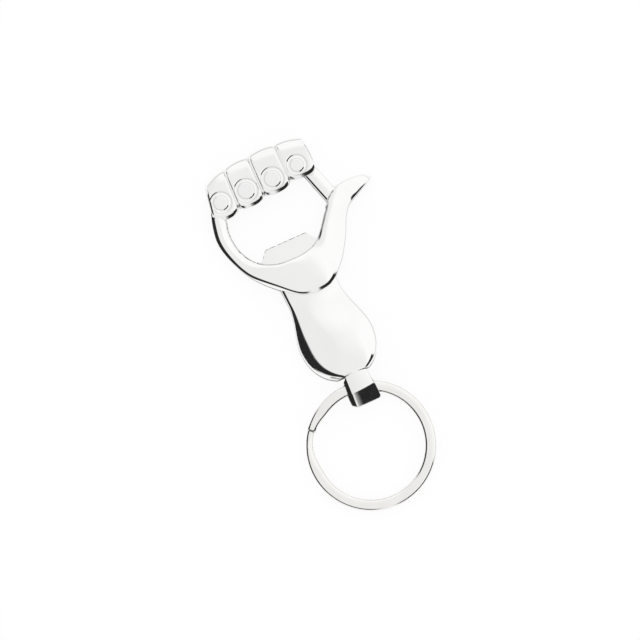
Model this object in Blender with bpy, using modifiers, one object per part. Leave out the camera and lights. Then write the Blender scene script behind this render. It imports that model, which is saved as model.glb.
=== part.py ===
"""Keychain bottle opener: a plated hand casting, a swivel link on a rivet and a two-turn split ring.

The opener lies on its flat back: +Z is the front of the hand, +Y runs to the fingers, +X to the thumb.
The origin is on the flat back, under the forearm. Lengths are in metres.
"""

import math
from typing import NamedTuple

import bmesh
import bpy
from mathutils import Vector

MM = 0.001

# Clearances between pieces
RUNNING_GAP = 0.3 * MM
WINDOW_PLAY = 0.2 * MM

# Forearm, measured along Y from the origin; the powers give how flat its crown is to the left and right
HEEL_REACH = 14.15 * MM
BULGE_REACH = 4.0 * MM
WRIST_REACH = 7.5 * MM
FOREARM_ROOT_REACH = 15.0 * MM
HEEL_WIDTH = 8.4 * MM
BULGE_WIDTH = 18.85 * MM
WRIST_WIDTH = 13.65 * MM
HEEL_HEIGHT = 5.6 * MM
BULGE_HEIGHT = 6.6 * MM
WRIST_HEIGHT = 5.4 * MM
HEEL_CENTRE_X = 1.35 * MM
WRIST_CENTRE_X = 0.42 * MM
HEEL_ROUND_POWER = 2.2
HEEL_FALL_POWER = 3.0
BULGE_POWERS = (3.1, 8.0)
WRIST_POWERS = (8.0, 12.0)

# Crowned tops of the forearm, palm and bar: their slopes at the rim and the most of the height that they fall
CROWN_SLOPE = 1.06
BELLY_SLOPE = 0.06
LARGEST_FALL = 0.6

# Right-hand bar of the loop, from the thumb root to the index finger
BAR_FOOT = (14.8 * MM, 28.0 * MM)
BAR_HEAD = (11.7 * MM, 38.0 * MM)
BAR_WIDTH = 3.7 * MM
BAR_THICKNESS = 3.2 * MM
BAR_POWERS = (2.4, 4.0)

# Fingers, little finger first; the edges are the five lines that bound them
FINGER_EDGES_LOW = (-14.7 * MM, -7.7 * MM, -0.75 * MM, 6.6 * MM, 14.1 * MM)
FINGER_EDGES_TOP = (-13.55 * MM, -7.35 * MM, -0.6 * MM, 6.65 * MM, 13.45 * MM)
FINGER_NOTCHES = (36.1 * MM, 35.5 * MM, 35.7 * MM, 36.4 * MM, 37.4 * MM)
FINGER_LOWS = (33.1 * MM, 33.5 * MM, 34.0 * MM, 35.0 * MM)
FINGER_TOP_LEFTS = (42.9 * MM, 44.75 * MM, 45.25 * MM, 45.35 * MM)
FINGER_TOP_RIGHTS = (44.75 * MM, 45.15 * MM, 45.25 * MM, 44.2 * MM)
FINGER_HEIGHTS = (6.7 * MM, 7.1 * MM, 7.3 * MM, 7.0 * MM)
FINGER_CROWN = 0.5 * MM
FINGER_OVERLAP = 0.15 * MM
LOBE_POWER = 2.4

# How the front of a finger falls to its tip, over its knuckle and to its sides
FRONT_FALL = 0.7 * MM
TIP_RUN = 1.5 * MM
TIP_FALL = 0.8 * MM
TIP_UNDERCUT = 1.15 * MM
KNUCKLE_RUN = 2.6 * MM
KNUCKLE_FALL = 1.4 * MM
DIVIDER_RUN = 0.8 * MM
DIVIDER_FALL = 0.95 * MM
FLANK_RUN = 1.2 * MM
FLANK_FALL = 0.66 * MM

# Nails: a disc left standing by a ring groove on each finger
NAIL_CENTRES_X = (-11.2 * MM, -4.3 * MM, 2.8 * MM, 9.7 * MM)
NAIL_CENTRES_Y = (37.5 * MM, 37.7 * MM, 37.7 * MM, 38.4 * MM)
NAIL_RADII = (1.8 * MM, 2.05 * MM, 2.0 * MM, 1.65 * MM)
NAIL_GROOVE_WIDTH = 1.1 * MM
NAIL_GROOVE_FLOOR = 0.4 * MM
NAIL_GROOVE_DEPTH = 0.35 * MM

# Pry lip: a flat tongue at the back of the palm
LIP_ROOT_Y = 16.5 * MM
LIP_SHOULDER_Y = 20.2 * MM
LIP_NOSE_Y = 22.8 * MM
LIP_SHOULDERS_X = (-8.1 * MM, 7.1 * MM)
LIP_NOSE_X = (-5.9 * MM, 4.9 * MM)
LIP_THICKNESS = 1.9 * MM
LIP_EDGE_ROUND = 0.35 * MM

# Swivel rivet
SHANK_DIAMETER = 2.4 * MM
SHANK_DEPTH = 6.5 * MM
RIVET_HEAD_DIAMETER = 4.4 * MM

# Swivel link: a strap that slopes to a round nose, with chamfered sides
LINK_WIDTH = 7.6 * MM
LINK_FLARE = 0.13
LINK_SIDE_WALL = 0.95 * MM
LINK_NEAR_WALL = 1.05 * MM
LINK_FAR_WALL = 1.4 * MM
LINK_NEAR_BOW = 0.45 * MM
LINK_CHAMFER_RUN = 0.8 * MM
LINK_CHAMFER_FALL = 0.62 * MM
LINK_SLOPE = math.radians(36.0)
LINK_SLOPE_REACH = 3.2 * MM
LINK_NOSE_ROUND = 0.9 * MM
LINK_NOSE_FLAT = 0.05 * MM
WINDOW_NEAR_ROUND = 0.4 * MM

# Split ring
RING_DIAMETER = 32.0 * MM
BAND_WIDTH = 2.65 * MM
BAND_THICKNESS = 0.85 * MM
TURN_GAP = 0.45 * MM
BAND_CORNER = 0.2 * MM
RING_SIDE_SHIFT = 3.55 * MM
SWING_AXIS_INSET = 0.5 * MM
SPLIT_ANGLE = math.radians(144.0)
JOG_ANGLE = math.radians(41.0)
SPLIT_END_GAP = 0.3 * MM
NECK_INNER_CUT = 0.95 * MM
NECK_OUTER_CUT = 0.05 * MM
NECK_RUN_IN = math.radians(26.0)
NECK_LEVEL_ANGLE = math.radians(8.0)
END_TAPER = 0.75 * MM
END_TAPER_ANGLE = math.radians(24.0)

# Smoothness of the round forms
CROWN_STEPS = 14
FOREARM_STEPS = 22
STATION_STEPS = 3
FINGER_STEPS = 14
FINGER_PROFILE_STEPS = 12
NAIL_STEPS = 32
RIVET_STEPS = 24
NOSE_STEPS = 5
CORNER_STEPS = 6
RING_STEPS_PER_TURN = 56

# Stock that is cut away to leave one flat back
BACK_STOCK = 1.5 * MM


class Station(NamedTuple):
    """One section of the palm: a foot on each edge, a crest height and how flat its crown is."""

    outer: tuple
    inner: tuple
    crest: float
    power: float


# Palm, from the little finger round the heel of the hand to the tip of the thumb; its outer edge is undercut
PALM_UNDERCUT = 0.6 * MM
PALM_STATIONS = (
    Station((-14.35 * MM, 38.0 * MM), (-11.1 * MM, 37.5 * MM), 6.0 * MM, 1.9),
    Station((-15.6 * MM, 33.4 * MM), (-11.65 * MM, 33.0 * MM), 5.2 * MM, 1.9),
    Station((-16.1 * MM, 28.8 * MM), (-12.3 * MM, 29.0 * MM), 4.0 * MM, 1.9),
    Station((-15.05 * MM, 24.05 * MM), (-11.5 * MM, 24.5 * MM), 4.1 * MM, 2.1),
    Station((-12.25 * MM, 18.03 * MM), (-9.0 * MM, 20.6 * MM), 4.9 * MM, 2.8),
    Station((-7.65 * MM, 12.03 * MM), (-5.0 * MM, 18.4 * MM), 6.4 * MM, 4.5),
    Station((-2.05 * MM, 8.35 * MM), (-1.2 * MM, 17.7 * MM), 7.2 * MM, 6.5),
    Station((4.7 * MM, 7.9 * MM), (2.6 * MM, 17.8 * MM), 7.4 * MM, 6.5),
    Station((9.7 * MM, 11.6 * MM), (6.0 * MM, 19.1 * MM), 7.2 * MM, 4.5),
    Station((13.5 * MM, 17.2 * MM), (8.6 * MM, 21.8 * MM), 6.8 * MM, 4.5),
    Station((15.9 * MM, 22.0 * MM), (11.0 * MM, 24.9 * MM), 6.2 * MM, 4.0),
    Station((18.25 * MM, 24.72 * MM), (13.4 * MM, 28.0 * MM), 5.7 * MM, 3.4),
    Station((20.85 * MM, 26.12 * MM), (17.0 * MM, 30.2 * MM), 5.1 * MM, 4.0),
    Station((23.65 * MM, 27.57 * MM), (21.2 * MM, 30.45 * MM), 4.3 * MM, 4.2),
    Station((24.95 * MM, 28.33 * MM), (23.8 * MM, 30.0 * MM), 3.5 * MM, 3.6),
    Station((25.5 * MM, 28.87 * MM), (25.2 * MM, 29.4 * MM), 2.0 * MM, 2.6),
)


class Envelope(NamedTuple):
    """The room that the ring's band sweeps inside the link, measured from the swing axis at mid width."""

    near: float
    far: float
    half_height: float


# Sizes worked out from the driving dimensions
BAND_STACK = 2 * BAND_THICKNESS + TURN_GAP
RING_OUTER_RADIUS = RING_DIAMETER / 2
RING_MID_RADIUS = RING_OUTER_RADIUS - BAND_WIDTH / 2
RING_LEAN = math.asin(RING_SIDE_SHIFT / RING_MID_RADIUS)
AXIS_TO_RING_CENTRE = RING_MID_RADIUS - SWING_AXIS_INSET


def swing_envelope():
    """Return the room that the band takes up in the link through a whole turn of its swing."""
    half_width = LINK_WIDTH / 2
    half_band = BAND_WIDTH / 2
    half_stack = BAND_STACK / 2
    near = far = half_height = 0.0
    steps = 48
    for side in (-1.0, 0.0, 1.0):
        along = side * half_width / math.cos(RING_LEAN)
        sag = RING_MID_RADIUS - math.sqrt(RING_MID_RADIUS ** 2 - along ** 2)
        drift = -along * math.sin(RING_LEAN)
        for step in range(steps):
            turn = 2 * math.pi * step / steps
            for radial in (-half_band, half_band):
                for axial in (-half_stack, half_stack):
                    reach = sag - SWING_AXIS_INSET + radial
                    inward = reach * math.cos(turn) - axial * math.sin(turn)
                    height = reach * math.sin(turn) + axial * math.cos(turn)
                    forward = drift - inward * math.cos(RING_LEAN)
                    near = max(near, forward)
                    far = max(far, -forward)
                    half_height = max(half_height, abs(height))
    return Envelope(near + WINDOW_PLAY, far + WINDOW_PLAY, half_height + WINDOW_PLAY)


SWING_ROOM = swing_envelope()
HEEL_Y = -HEEL_REACH
LINK_NEAR_Y = HEEL_Y - RUNNING_GAP
WINDOW_NEAR_Y = LINK_NEAR_Y - LINK_NEAR_WALL
SWING_AXIS_Y = WINDOW_NEAR_Y - SWING_ROOM.near
WINDOW_FAR_Y = SWING_AXIS_Y - SWING_ROOM.far
LINK_FAR_Y = WINDOW_FAR_Y - LINK_FAR_WALL
LINK_THICKNESS = 2 * (SWING_ROOM.half_height + LINK_SIDE_WALL)
SWIVEL_Z = LINK_THICKNESS / 2
BORE_RADIUS = SHANK_DIAMETER / 2 + RUNNING_GAP


def clear_scene():
    """Remove every object of the start-up scene."""
    for item in list(bpy.data.objects):
        bpy.data.objects.remove(item, do_unlink=True)


def new_collection(name):
    """Make a collection in the scene."""
    collection = bpy.data.collections.new(name)
    bpy.context.scene.collection.children.link(collection)
    return collection


def new_material(name, colour, metallic, roughness):
    """Make a plain principled material."""
    material = bpy.data.materials.new(name)
    material.use_nodes = True
    shader = material.node_tree.nodes["Principled BSDF"]
    shader.inputs["Base Color"].default_value = (*colour, 1.0)
    shader.inputs["Metallic"].default_value = metallic
    shader.inputs["Roughness"].default_value = roughness
    return material


def add_object(name, data, collection):
    """Wrap mesh or curve data in a named object."""
    item = bpy.data.objects.new(name, data)
    collection.objects.link(item)
    return item


def mark_as_tool(item):
    """Show a cutter or a joining shape as wire and keep it out of the renders."""
    item.hide_render = True
    item.display_type = "WIRE"


def smooth(item, angle):
    """Shade an object smooth, with edges sharper than the angle kept."""
    item.data.shade_smooth()
    item.data.set_sharp_from_angle(angle=angle)


def loft(name, sections, collection):
    """Skin a row of closed sections, which all have the same number of points, and cap both ends."""
    shape = bmesh.new()
    rings = [[shape.verts.new(point) for point in section] for section in sections]
    count = len(rings[0])
    for first, second in zip(rings, rings[1:]):
        for index in range(count):
            after = (index + 1) % count
            shape.faces.new((first[index], first[after], second[after], second[index]))
    shape.faces.new(reversed(rings[0]))
    shape.faces.new(rings[-1])
    bmesh.ops.recalc_face_normals(shape, faces=shape.faces)
    mesh = bpy.data.meshes.new(name)
    shape.to_mesh(mesh)
    shape.free()
    return add_object(name, mesh, collection)


def plate(name, outline, low, high, collection):
    """Extrude a flat outline in XY between two heights and weld it into a closed mesh."""
    curve = bpy.data.curves.new(name, "CURVE")
    curve.dimensions = "2D"
    curve.fill_mode = "BOTH"
    curve.extrude = (high - low) / 2
    spline = curve.splines.new("POLY")
    spline.points.add(len(outline) - 1)
    for point, (x, y) in zip(spline.points, outline):
        point.co = (x, y, 0.0, 1.0)
    spline.use_cyclic_u = True
    pattern = add_object(name + "_outline", curve, collection)
    bpy.context.view_layer.update()
    evaluated = pattern.evaluated_get(bpy.context.evaluated_depsgraph_get())
    mesh = bpy.data.meshes.new_from_object(evaluated)
    bpy.data.objects.remove(pattern, do_unlink=True)
    shape = bmesh.new()
    shape.from_mesh(mesh)
    bmesh.ops.remove_doubles(shape, verts=shape.verts, dist=0.00001)
    bmesh.ops.dissolve_limit(shape, angle_limit=0.001, verts=shape.verts, edges=shape.edges)
    bmesh.ops.recalc_face_normals(shape, faces=shape.faces)
    bmesh.ops.translate(shape, verts=shape.verts, vec=(0.0, 0.0, (low + high) / 2))
    shape.to_mesh(mesh)
    shape.free()
    mesh.name = name
    return add_object(name, mesh, collection)


def turned(name, profile, steps, collection):
    """Turn an open profile of (radius, height) points, top to bottom, about the object's own Z axis."""
    mesh = bpy.data.meshes.new(name)
    points = [(radius, 0.0, height) for radius, height in profile]
    mesh.from_pydata(points, [(index, index + 1) for index in range(len(points) - 1)], [])
    item = add_object(name, mesh, collection)
    screw = item.modifiers.new("turn", "SCREW")
    screw.axis = "Z"
    screw.steps = steps
    screw.render_steps = steps
    screw.use_merge_vertices = True
    screw.merge_threshold = 0.00001
    return item


def add_bevel(item, width, segments):
    """Round the sharp edges of an object."""
    bevel = item.modifiers.new("rounded_edges", "BEVEL")
    bevel.width = width
    bevel.segments = segments
    bevel.limit_method = "ANGLE"
    bevel.angle_limit = math.radians(50.0)


def combine(item, tool, operation):
    """Join a shape to an object, or cut it away, with a Boolean modifier."""
    boolean = item.modifiers.new(operation.lower() + "_" + tool.name, "BOOLEAN")
    boolean.operation = operation
    boolean.object = tool
    mark_as_tool(tool)


def between(start, end, share):
    """Return the value that lies at a share of the way from one value to another."""
    return start + (end - start) * share


def blend(start, end, share):
    """Ease from one value to another as the share goes from 0 to 1."""
    share = min(max(share, 0.0), 1.0)
    return between(start, end, share * share * (3 - 2 * share))


def spline_through(values, steps):
    """Return points on a smooth curve through vectors, with the given steps between neighbours."""
    ends = [values[0] * 2 - values[1], *values, values[-1] * 2 - values[-2]]
    points = []
    for before, start, end, after in zip(ends, ends[1:], ends[2:], ends[3:]):
        for step in range(steps):
            share = step / steps
            lean = (end - before) * share + (before * 2 - start * 5 + end * 4 - after) * share ** 2
            bow = (start * 3 - before - end * 3 + after) * share ** 3
            points.append(start + (lean + bow) * 0.5)
    points.append(values[-1])
    return points


def crowned_section(left, right, crest, powers, stock, undercut=0.0):
    """Return a section with upright sides and a crowned top, carried down by the stock below the back."""
    left = Vector((left[0], left[1], 0.0))
    right = Vector((right[0], right[1], 0.0))
    middle = (left + right) / 2
    half = (right - left) / 2
    down = Vector((0.0, 0.0, -stock))
    belly = BELLY_SLOPE * half.length / 2
    falls = [min(CROWN_SLOPE * half.length / power, LARGEST_FALL * crest) for power in powers]
    section = [left + half.normalized() * min(undercut, half.length / 3) + down]
    for step in range(CROWN_STEPS + 1):
        across = -math.cos(math.pi * step / CROWN_STEPS)
        side = int(across > 0)
        rise = crest - belly * across ** 2 - falls[side] * abs(across) ** powers[side]
        section.append(middle + half * across + Vector((0.0, 0.0, rise)))
    section.append(right + down)
    return section


def round_off(past, run, share, power):
    """Return what is left of a size, past its largest place, where a share of it is left after the run."""
    reach = run / (1 - share ** power) ** (1 / power)
    return (1 - abs(past / reach) ** power) ** (1 / power)


def build_forearm(collection):
    """Loft the forearm: a rounded heel, a bulge and a neck that runs into the palm."""
    run = HEEL_REACH - BULGE_REACH
    sections = []
    for step in range(FOREARM_STEPS + 1):
        y = between(HEEL_Y, FOREARM_ROOT_REACH, step / FOREARM_STEPS)
        past_bulge = y + BULGE_REACH
        flattening = 0.0
        if past_bulge < 0:
            width = BULGE_WIDTH * round_off(past_bulge, run, HEEL_WIDTH / BULGE_WIDTH, HEEL_ROUND_POWER)
            height = BULGE_HEIGHT * round_off(past_bulge, run, HEEL_HEIGHT / BULGE_HEIGHT, HEEL_FALL_POWER)
        else:
            neck = past_bulge / (BULGE_REACH + WRIST_REACH)
            width = blend(BULGE_WIDTH, WRIST_WIDTH, neck)
            height = blend(BULGE_HEIGHT, WRIST_HEIGHT, neck)
            flattening = min(neck, 1.0) ** 2
        powers = [between(bulge, wrist, flattening) for bulge, wrist in zip(BULGE_POWERS, WRIST_POWERS)]
        centre = between(HEEL_CENTRE_X, WRIST_CENTRE_X, (y - HEEL_Y) / (WRIST_REACH - HEEL_Y))
        feet = ((centre - width / 2, y), (centre + width / 2, y))
        sections.append(crowned_section(*feet, height, powers, BACK_STOCK))
    return loft("forearm", sections, collection)


def build_palm(collection):
    """Loft the palm from the little finger, round the heel of the hand, to the tip of the thumb."""
    outer = spline_through([Vector(station.outer) for station in PALM_STATIONS], STATION_STEPS)
    inner = spline_through([Vector(station.inner) for station in PALM_STATIONS], STATION_STEPS)
    crowns = [Vector((station.crest, station.power)) for station in PALM_STATIONS]
    crown = spline_through(crowns, STATION_STEPS)
    sections = [
        crowned_section(foot, far, top.x, (top.y, top.y), BACK_STOCK * 1.1, PALM_UNDERCUT)
        for foot, far, top in zip(outer, inner, crown)
    ]
    return loft("palm", sections, collection)


def build_bar(collection):
    """Loft the straight bar that joins the thumb root to the index finger."""
    foot = Vector(BAR_FOOT)
    head = Vector(BAR_HEAD)
    run = (head - foot).normalized()
    side = Vector((run.y, -run.x)) * BAR_WIDTH / 2
    sections = [
        crowned_section(end - side, end + side, BAR_THICKNESS, BAR_POWERS, BACK_STOCK * 0.8)
        for end in (foot, head)
    ]
    return loft("loop_bar", sections, collection)


def side_fall(index, share):
    """Return how far a finger's front falls towards its sides, at a share of its width from the left."""
    width = FINGER_EDGES_LOW[index + 1] - FINGER_EDGES_LOW[index]
    last = len(FINGER_LOWS) - 1
    total = 0.0
    for inset, outermost in ((share, index == 0), (1 - share, index == last)):
        run = FLANK_RUN if outermost else DIVIDER_RUN
        fall = FLANK_FALL if outermost else DIVIDER_FALL
        total += fall * max(1 - inset * width / run, 0.0) ** 2
    return total


def finger_section(index, share, stock):
    """Return one finger's section along Y, at a share of its width from its left side to its right."""
    across = 2 * share - 1
    lobe = (1 - abs(across) ** LOBE_POWER) ** (1 / LOBE_POWER)
    notch = between(FINGER_NOTCHES[index], FINGER_NOTCHES[index + 1], share)
    low = between(notch, FINGER_LOWS[index], lobe)
    top = between(FINGER_TOP_LEFTS[index], FINGER_TOP_RIGHTS[index], share)
    top += FINGER_CROWN * (1 - across ** 2)
    front = FINGER_HEIGHTS[index] - side_fall(index, share)
    profile = [(low + TIP_UNDERCUT, -stock)]
    for step in range(FINGER_PROFILE_STEPS + 1):
        up = (1 - math.cos(math.pi * step / FINGER_PROFILE_STEPS)) / 2
        y = between(low, top, up)
        tip_fall = TIP_FALL * max(1 - (y - low) / TIP_RUN, 0.0) ** 2
        knuckle_fall = KNUCKLE_FALL * max(1 - (top - y) / KNUCKLE_RUN, 0.0) ** 2
        profile.append((y, front - FRONT_FALL * (1 - up) - tip_fall - knuckle_fall))
    profile.append((top, -stock))
    section = []
    for y, z in profile:
        up = (y - FINGER_LOWS[index]) / (FINGER_TOP_LEFTS[index] - FINGER_LOWS[index])
        left = between(FINGER_EDGES_LOW[index], FINGER_EDGES_TOP[index], up) - FINGER_OVERLAP
        right = between(FINGER_EDGES_LOW[index + 1], FINGER_EDGES_TOP[index + 1], up) + FINGER_OVERLAP
        section.append(Vector((between(left, right, share), y, z)))
    return section


def build_finger(index, collection):
    """Loft one curled finger: a round tip over the opening, a flat front and a rounded knuckle."""
    stock = BACK_STOCK * (1 + 0.1 * index)
    shares = [(1 - math.cos(math.pi * step / FINGER_STEPS)) / 2 for step in range(FINGER_STEPS + 1)]
    return loft(f"finger_{index + 1}", [finger_section(index, share, stock) for share in shares], collection)


def build_nail_groove(index, collection):
    """Turn the ring-shaped cutter that leaves one nail standing as a disc, tilted to the finger's front."""
    inner = NAIL_RADII[index]
    outer = inner + NAIL_GROOVE_WIDTH
    middle = (inner + outer) / 2
    profile = [
        (inner, NAIL_GROOVE_DEPTH),
        (outer, NAIL_GROOVE_DEPTH),
        (middle + NAIL_GROOVE_FLOOR / 2, -NAIL_GROOVE_DEPTH),
        (middle - NAIL_GROOVE_FLOOR / 2, -NAIL_GROOVE_DEPTH),
        (inner, NAIL_GROOVE_DEPTH),
    ]
    groove = turned(f"nail_groove_{index + 1}", profile, NAIL_STEPS, collection)
    length = FINGER_TOP_LEFTS[index] - FINGER_LOWS[index]
    up = (NAIL_CENTRES_Y[index] - FINGER_LOWS[index]) / length
    front = FINGER_HEIGHTS[index] - FRONT_FALL * (1 - up)
    groove.location = (NAIL_CENTRES_X[index], NAIL_CENTRES_Y[index], front)
    groove.rotation_euler = (math.atan(FRONT_FALL / length), 0.0, 0.0)
    return groove


def build_lip(collection):
    """Extrude the pry lip, a flat tongue that reaches into the opening."""
    left, right = LIP_SHOULDERS_X
    nose_left, nose_right = LIP_NOSE_X
    outline = [
        (left, LIP_ROOT_Y),
        (right, LIP_ROOT_Y),
        (right, LIP_SHOULDER_Y),
        (nose_right, LIP_NOSE_Y),
        (nose_left, LIP_NOSE_Y),
        (left, LIP_SHOULDER_Y),
    ]
    lip = plate("pry_lip", outline, -BACK_STOCK * 0.9, LIP_THICKNESS, collection)
    add_bevel(lip, LIP_EDGE_ROUND, 2)
    return lip


def build_rivet_bore(collection):
    """Make the cutter for the blind bore that holds the rivet's shank."""
    depth = SHANK_DEPTH + RUNNING_GAP
    profile = [(0.0, depth), (BORE_RADIUS, depth), (BORE_RADIUS, -BACK_STOCK), (0.0, -BACK_STOCK)]
    bore = turned("rivet_bore", profile, RIVET_STEPS, collection)
    bore.location = (HEEL_CENTRE_X, HEEL_Y, SWIVEL_Z)
    bore.rotation_euler = (math.radians(-90.0), 0.0, 0.0)
    return bore


def build_back_cut(collection):
    """Make the slab that trims every shape to one flat back."""
    bpy.ops.mesh.primitive_cube_add(size=1.0)
    slab = bpy.context.object
    slab.name = "back_cut"
    for owner in list(slab.users_collection):
        owner.objects.unlink(slab)
    collection.objects.link(slab)
    depth = BACK_STOCK * 4
    reach = max(station.outer[1] for station in PALM_STATIONS) * 4
    slab.scale = (reach, reach, depth)
    slab.location = (0.0, 0.0, -depth / 2)
    return slab


def build_opener_body(parts, tools):
    """Join the cast shapes into one body, trim its back flat and bore it for the rivet."""
    body = build_palm(parts)
    body.name = "opener_body"
    combine(body, build_forearm(tools), "UNION")
    combine(body, build_bar(tools), "UNION")
    combine(body, build_lip(tools), "UNION")
    fingers = range(len(FINGER_LOWS))
    for index in fingers:
        combine(body, build_finger(index, tools), "UNION")
    combine(body, build_back_cut(tools), "DIFFERENCE")
    for index in fingers:
        combine(body, build_nail_groove(index, tools), "DIFFERENCE")
    combine(body, build_rivet_bore(tools), "DIFFERENCE")
    body.data.materials.append(new_material("plated_casting", (0.86, 0.86, 0.85), 1.0, 0.08))
    smooth(body, math.radians(35.0))
    return body


def build_rivet(parts):
    """Turn the swivel rivet: a shank in the forearm and a countersunk head in the link."""
    shank = SHANK_DIAMETER / 2
    head = RIVET_HEAD_DIAMETER / 2
    head_depth = head - shank
    seat = RUNNING_GAP + LINK_NEAR_WALL
    profile = [
        (0.0, SHANK_DEPTH),
        (shank, SHANK_DEPTH),
        (shank, head_depth - seat),
        (head, -seat),
        (0.0, -seat),
    ]
    rivet = turned("swivel_rivet", profile, RIVET_STEPS, parts)
    rivet.location = (HEEL_CENTRE_X, HEEL_Y, SWIVEL_Z)
    rivet.rotation_euler = (math.radians(-90.0), 0.0, 0.0)
    rivet.data.materials.append(new_material("rivet_steel", (0.72, 0.72, 0.71), 1.0, 0.2))
    return rivet


def strap_section(across):
    """Return the link's outline at a share of its half width, drawn in where its sides are chamfered."""
    half_width = LINK_WIDTH / 2
    draw_in = LINK_CHAMFER_FALL * max(1 - half_width * (1 - abs(across)) / LINK_CHAMFER_RUN, 0.0)
    half = LINK_THICKNESS / 2 - draw_in
    near = LINK_NEAR_Y - HEEL_Y
    far = LINK_FAR_Y - HEEL_Y
    axis = SWING_AXIS_Y - HEEL_Y
    reach = LINK_SLOPE_REACH - draw_in
    nose_y = far + draw_in + LINK_NOSE_ROUND
    nose_z = (reach - LINK_NOSE_ROUND - (axis - nose_y) * math.sin(LINK_SLOPE)) / math.cos(LINK_SLOPE)
    nose_z = max(nose_z, LINK_NOSE_FLAT)
    top = [(near - draw_in - LINK_NEAR_BOW * across ** 2, half)]
    top.append((axis - (reach - half * math.cos(LINK_SLOPE)) / math.sin(LINK_SLOPE), half))
    for step in range(NOSE_STEPS + 1):
        angle = (math.pi / 2 - LINK_SLOPE) * (1 - step / NOSE_STEPS)
        y = nose_y - LINK_NOSE_ROUND * math.cos(angle)
        top.append((y, nose_z + LINK_NOSE_ROUND * math.sin(angle)))
    section = []
    for y, z in top + [(y, -z) for y, z in reversed(top)]:
        flare = 1 - LINK_FLARE * (y - far) / (near - far)
        section.append(Vector((across * half_width * flare, y, z)))
    return section


def build_link(parts, tools):
    """Make the swivel link: a sloping strap round a window, with a countersunk hole in its near wall."""
    flat = 1 - LINK_CHAMFER_RUN / (LINK_WIDTH / 2)
    places = (-1.0, -flat, -flat / 2, 0.0, flat / 2, flat, 1.0)
    link = loft("swivel_link", [strap_section(across) for across in places], parts)
    link.location = (HEEL_CENTRE_X, HEEL_Y, SWIVEL_Z)

    window = loft("link_window", window_sections(), tools)
    window.location = link.location
    combine(link, window, "DIFFERENCE")
    shank = SHANK_DIAMETER / 2 + RUNNING_GAP
    head = RIVET_HEAD_DIAMETER / 2 + RUNNING_GAP
    depth = LINK_NEAR_WALL + RUNNING_GAP
    rise = RIVET_HEAD_DIAMETER / 2 - SHANK_DIAMETER / 2
    profile = [
        (0.0, RUNNING_GAP),
        (shank, RUNNING_GAP),
        (shank, rise - depth),
        (head, -depth),
        (head, -depth - WINDOW_PLAY),
        (0.0, -depth - WINDOW_PLAY),
    ]
    hole = turned("rivet_hole", profile, RIVET_STEPS, tools)
    hole.location = link.location
    hole.rotation_euler = (math.radians(-90.0), 0.0, 0.0)
    combine(link, hole, "DIFFERENCE")
    link.data.materials.append(new_material("plated_link", (0.86, 0.86, 0.85), 1.0, 0.08))
    smooth(link, math.radians(35.0))
    return link


def window_sections():
    """Return the two end sections of the link's window, which runs right through the link's width."""
    near = WINDOW_NEAR_Y - HEEL_Y - WINDOW_NEAR_ROUND
    far = WINDOW_FAR_Y - HEEL_Y
    half = SWING_ROOM.half_height
    rise = half - WINDOW_NEAR_ROUND
    arcs = (
        (near, rise, WINDOW_NEAR_ROUND, 0.0, 1),
        (far + half, 0.0, half, 90.0, 2),
        (near, -rise, WINDOW_NEAR_ROUND, 270.0, 1),
    )
    sections = []
    for side in (-1.0, 1.0):
        section = []
        for y, z, radius, start, quarters in arcs:
            for step in range(quarters * CORNER_STEPS + 1):
                angle = math.radians(start + 90.0 * step / CORNER_STEPS)
                corner = (side * LINK_WIDTH, y + radius * math.cos(angle), z + radius * math.sin(angle))
                section.append(Vector(corner))
        sections.append(section)
    return sections


def band_section(angle, first, last):
    """Return the ring band's section at an angle about the ring's centre, in the ring's own frame."""
    split = SPLIT_ANGLE + RING_LEAN
    past_split = (angle - split) / JOG_ANGLE
    level = (BAND_THICKNESS + TURN_GAP) / 2
    height = blend(-level, level, past_split)
    run_in = blend(0.0, 1.0, (angle - split + NECK_RUN_IN) / NECK_RUN_IN)
    run_out = blend(1.0, 0.0, (angle - split - NECK_LEVEL_ANGLE) / (JOG_ANGLE - NECK_LEVEL_ANGLE))
    neck = run_in * run_out
    taper = blend(END_TAPER, 0.0, min(angle - first, last - angle) / END_TAPER_ANGLE)
    inner = RING_OUTER_RADIUS - BAND_WIDTH + NECK_INNER_CUT * neck + taper
    outer = RING_OUTER_RADIUS - NECK_OUTER_CUT * neck
    half = BAND_THICKNESS / 2
    flat = half - BAND_CORNER
    profile = [
        (inner, -flat),
        (inner + BAND_CORNER, -half),
        (outer - BAND_CORNER, -half),
        (outer, -flat),
        (outer, flat),
        (outer - BAND_CORNER, half),
        (inner + BAND_CORNER, half),
        (inner, flat),
    ]
    centre = Vector((0.0, -AXIS_TO_RING_CENTRE, height))
    direction = Vector((math.cos(angle), math.sin(angle), 0.0))
    return [centre + direction * radius + Vector((0.0, 0.0, rise)) for radius, rise in profile]


def least_turn_gap(first, last):
    """Measure, on points of the band, the least gap between one turn and the turn above it."""
    least = TURN_GAP + BAND_THICKNESS
    overlap = last - first - 2 * math.pi
    samples = 40
    for sample in range(samples + 1):
        angle = first + overlap * sample / samples
        below = band_section(angle, first, last)
        above = band_section(angle + 2 * math.pi, first, last)
        least = min(least, min((high - low).length for low in below for high in above))
    return least


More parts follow.
